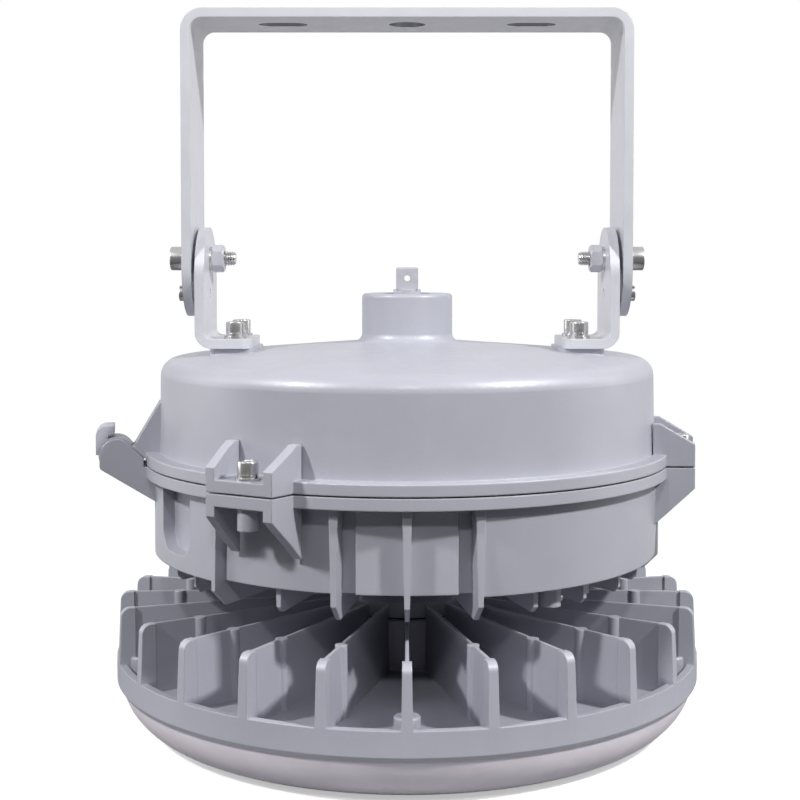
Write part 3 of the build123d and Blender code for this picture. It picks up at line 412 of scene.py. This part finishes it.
def cap_screw(bm, size, grip, thread_length, place):
    """A socket cap screw that points down from the origin, then is put in place."""
    thread, pitch, head, height = size
    edge = HEAD_EDGE_SHARE * head
    start = len(bm.verts)
    rings = []
    steps = int(thread_length / pitch * THREAD_STEPS)
    tip = TIP_HEIGHT * pitch
    rings.append(ring(bm, even(thread - TIP_INSET * pitch), -grip))
    for step in range(steps + 1):
        level = -grip + tip + (thread_length - tip) * step / steps
        grown = min(1.0, FIRST_TURN_START + (1 - FIRST_TURN_START) * step / THREAD_STEPS)
        at = thread_radius_at(thread, pitch, level)
        limit = thread - (1 - grown) * pitch * FIRST_TURN_DEPTH
        rings.append(ring(bm, lambda angle: min(at(angle), limit), level))
    if grip - thread_length > pitch:
        rings.append(ring(bm, even(thread), -grip + thread_length + SHANK_START * pitch))
    rings.append(ring(bm, even(thread), 0))
    rings.append(ring(bm, even(head - HEAD_FOOT_SHARE * edge), 0))
    rings.append(ring(bm, even(head), HEAD_FOOT_SHARE * edge))
    rings.append(ring(bm, even(head), height - edge))
    for share in HEAD_EDGE_TURNS:
        turn = share * math.pi / 2
        inset = edge * (1 - math.cos(turn))
        rings.append(ring(bm, even(head - inset), height - edge * (1 - math.sin(turn))))
    rings.append(ring(bm, even(head - edge), height))
    mouth = hexagon_radius(thread)
    rings.append(ring(bm, lambda angle: mouth(angle) * SOCKET_FLARE, height))
    rings.append(ring(bm, mouth, height - SOCKET_BEVEL_SHARE * height))
    rings.append(ring(bm, mouth, height * (1 - SOCKET_DEPTH_SHARE)))
    skin(bm, rings)
    bm.verts.ensure_lookup_table()
    for vertex in bm.verts[start:]:
        vertex.co = place @ vertex.co


def finished(bm, name, slot_name, node_name):
    """Turn a mesh into a piece that rides on the lamp in place of its plain node."""
    bmesh.ops.recalc_face_normals(bm, faces=bm.faces)
    mesh = bpy.data.meshes.new(name)
    bm.to_mesh(mesh)
    bm.free()
    piece = bpy.data.objects.new(name, mesh)
    bpy.context.scene.collection.objects.link(piece)
    mesh.shade_smooth()
    mesh.set_sharp_from_angle(angle=math.radians(SHARP_ANGLE))
    mesh.materials.append(finishes[slot_name])
    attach(piece, "lamp")
    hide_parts(node_name)


def islands(node_name):
    """The lowest and highest corners of each separate solid of a node, in order of their place."""
    mesh = frame["nodes"][node_name].data
    bm = bmesh.new()
    bm.from_mesh(mesh)
    bmesh.ops.remove_doubles(bm, verts=bm.verts, dist=MERGE_DISTANCE)
    left = set(bm.verts)
    found = []
    while left:
        stack = [left.pop()]
        group = []
        while stack:
            vertex = stack.pop()
            group.append(vertex.co.copy())
            for edge in vertex.link_edges:
                other = edge.other_vert(vertex)
                if other in left:
                    left.remove(other)
                    stack.append(other)
        low = Vector([min(co[axis] for co in group) for axis in range(3)])
        high = Vector([max(co[axis] for co in group) for axis in range(3)])
        found.append((low, high))
    bm.free()
    return sorted(found, key=lambda corners: tuple(corners[0]))


def upright_screws(name, node_name, size, thread_length):
    """Screws along Z whose heads point up."""
    bm = bmesh.new()
    for low, high in islands(node_name):
        middle = (low + high) / 2
        seat = high.z - size[3]
        place = Matrix.Translation((middle.x, middle.y, seat))
        cap_screw(bm, size, seat - low.z, thread_length, place)
    finished(bm, name, "stainless", node_name)


def level_screws(name, node_name, size, thread_length):
    """Screws along X whose heads point away from the lamp."""
    bm = bmesh.new()
    for low, high in islands(node_name):
        middle = (low + high) / 2
        outwards = 1 if middle.x > 0 else -1
        seat = (high.x if outwards > 0 else low.x) - outwards * size[3]
        tip = low.x if outwards > 0 else high.x
        turn = Matrix.Rotation(outwards * math.pi / 2, 4, "Y")
        place = Matrix.Translation((seat, middle.y, middle.z)) @ turn
        cap_screw(bm, size, abs(seat - tip), thread_length, place)
    finished(bm, name, "stainless", node_name)


level_screws("pivot_screws_threaded", "pivot_bolts", M8, 0.022)
level_screws("lock_screws_threaded", "lock_screws", M5, 0.008)
upright_screws("foot_screws_threaded", "foot_bolts", M6, 0.010)
upright_screws("closure_screws_threaded", "closure_bolts", M6, 0.012)


# Studio: a pale floor, small lamps from the front left, right and middle, and a screen at each side

def floor():
    """A pale disc that carries the object's shadow and fades into the white round it."""
    mesh = bpy.data.meshes.new("floor")
    bm = bmesh.new()
    bmesh.ops.create_circle(bm, cap_ends=True, segments=FLOOR_CORNERS, radius=FLOOR_RADIUS)
    bm.to_mesh(mesh)
    bm.free()
    piece = bpy.data.objects.new("floor", mesh)
    piece.location = (0, 0, cad_box[0][2])
    bpy.context.scene.collection.objects.link(piece)
    nodes = Nodes("floor")
    nodes.set(Roughness=0.8, Specular_IOR_Level=0.1, Emission_Color=(1, 1, 1, 1))
    seen = nodes.add("ShaderNodeLightPath").outputs["Is Camera Ray"]
    lift = nodes.add("ShaderNodeMath", operation="MULTIPLY")
    lift.inputs[1].default_value = FLOOR_LIFT
    nodes.join(seen, lift.inputs[0])
    nodes.join(lift.outputs["Value"], nodes.shader.inputs["Emission Strength"])
    reach = nodes.add("ShaderNodeVectorMath", operation="LENGTH")
    nodes.join(nodes.place, reach.inputs[0])

    def outwards(start, end):
        """0 within one radius of the middle of the floor, 1 beyond another."""
        climb = nodes.add("ShaderNodeMapRange", interpolation_type="SMOOTHSTEP")
        climb.inputs["From Min"].default_value = start
        climb.inputs["From Max"].default_value = end
        nodes.join(reach.outputs["Value"], climb.inputs["Value"])
        return climb.outputs["Result"]

    bounce = nodes.mix(outwards(NEAR_FLOOR_RADIUS, FAR_FLOOR_RADIUS), NEAR_FLOOR_TONE, FAR_FLOOR_TONE)
    nodes.join(nodes.mix(seen, bounce, FLOOR_WHITE), nodes.shader.inputs["Base Color"])
    clear = nodes.add("ShaderNodeBsdfTransparent")
    blend = nodes.add("ShaderNodeMixShader")
    nodes.join(outwards(FLOOR_FADE_START * FLOOR_RADIUS, FLOOR_RADIUS), blend.inputs["Fac"])
    nodes.join(nodes.shader.outputs["BSDF"], blend.inputs[1])
    nodes.join(clear.outputs["BSDF"], blend.inputs[2])
    nodes.join(blend.outputs["Shader"], nodes.tree.nodes["Material Output"].inputs["Surface"])
    mesh.materials.append(nodes.material)


def area_light(name, azimuth, elevation, size, power):
    """A square lamp that faces the object from an azimuth and an elevation."""
    data = bpy.data.lights.new(name, "AREA")
    data.shape = "SQUARE"
    data.size = size
    data.energy = power
    light = bpy.data.objects.new(name, data)
    a, e = math.radians(azimuth), math.radians(elevation)
    back = Vector((math.sin(a) * math.cos(e), -math.cos(a) * math.cos(e), math.sin(e)))
    light.location = Vector(LAMP_CENTRE) + LAMP_DISTANCE * back
    light.rotation_mode = "QUATERNION"
    light.rotation_quaternion = back.to_track_quat("Z", "Y")
    bpy.context.scene.collection.objects.link(light)


def world():
    """White to the camera, and on the object bright behind and above, dark in front and below."""
    made = bpy.data.worlds.new("studio")
    bpy.context.scene.world = made
    made.use_nodes = True
    tree = made.node_tree
    background = tree.nodes["Background"]
    direction = tree.nodes.new("ShaderNodeTexCoord").outputs["Generated"]

    def joined(kind, operation, first, second):
        node = tree.nodes.new(kind)
        node.operation = operation
        for socket, value in zip(node.inputs, (first, second)):
            if isinstance(value, bpy.types.NodeSocket):
                tree.links.new(value, socket)
            else:
                socket.default_value = value
        return node.outputs["Value"]

    def larger(first, second):
        return joined("ShaderNodeMath", "MAXIMUM", first, second)

    def rise(towards, start, end, low, high):
        """A strength that climbs from low to high as a ray turns to one direction."""
        node = tree.nodes.new("ShaderNodeMapRange")
        node.interpolation_type = "SMOOTHSTEP"
        cosine = joined("ShaderNodeVectorMath", "DOT_PRODUCT", direction, towards)
        tree.links.new(cosine, node.inputs["Value"])
        for name, value in (("From Min", start), ("From Max", end), ("To Min", low), ("To Max", high)):
            node.inputs[name].default_value = value
        return node.outputs["Result"]

    path = tree.nodes.new("ShaderNodeLightPath").outputs
    dim = larger(rise(UP, *WORLD_ABOVE), rise(BACK, *WORLD_BEHIND))
    gloss = joined("ShaderNodeMath", "MULTIPLY", path["Is Glossy Ray"], rise(*GLOSS_WORLD))
    seen = larger(path["Is Camera Ray"], path["Is Transmission Ray"])
    tree.links.new(larger(larger(dim, gloss), seen), background.inputs["Strength"])
    background.inputs["Color"].default_value = (1, 1, 1, 1)


def camera():
    """The photograph's camera, level from side to side and pitched a little down."""
    data = bpy.data.cameras.new("camera")
    data.sensor_width = SENSOR_WIDTH
    data.lens = FOCAL_PIXELS * SENSOR_WIDTH / PHOTO_SIZE
    data.shift_x = 0.5 - PRINCIPAL_POINT[0] / PHOTO_SIZE
    data.shift_y = PRINCIPAL_POINT[1] / PHOTO_SIZE - 0.5
    made = bpy.data.objects.new("camera", data)
    made.location = (0, -CAMERA_DISTANCE, CAMERA_HEIGHT)
    made.rotation_euler = (math.pi / 2 - CAMERA_PITCH, 0, 0)
    bpy.context.scene.collection.objects.link(made)
    bpy.context.scene.camera = made


bpy.context.scene.view_settings.view_transform = "Standard"
floor()
world()
for name, values in LAMPS.items():
    area_light(name, *values)
camera()
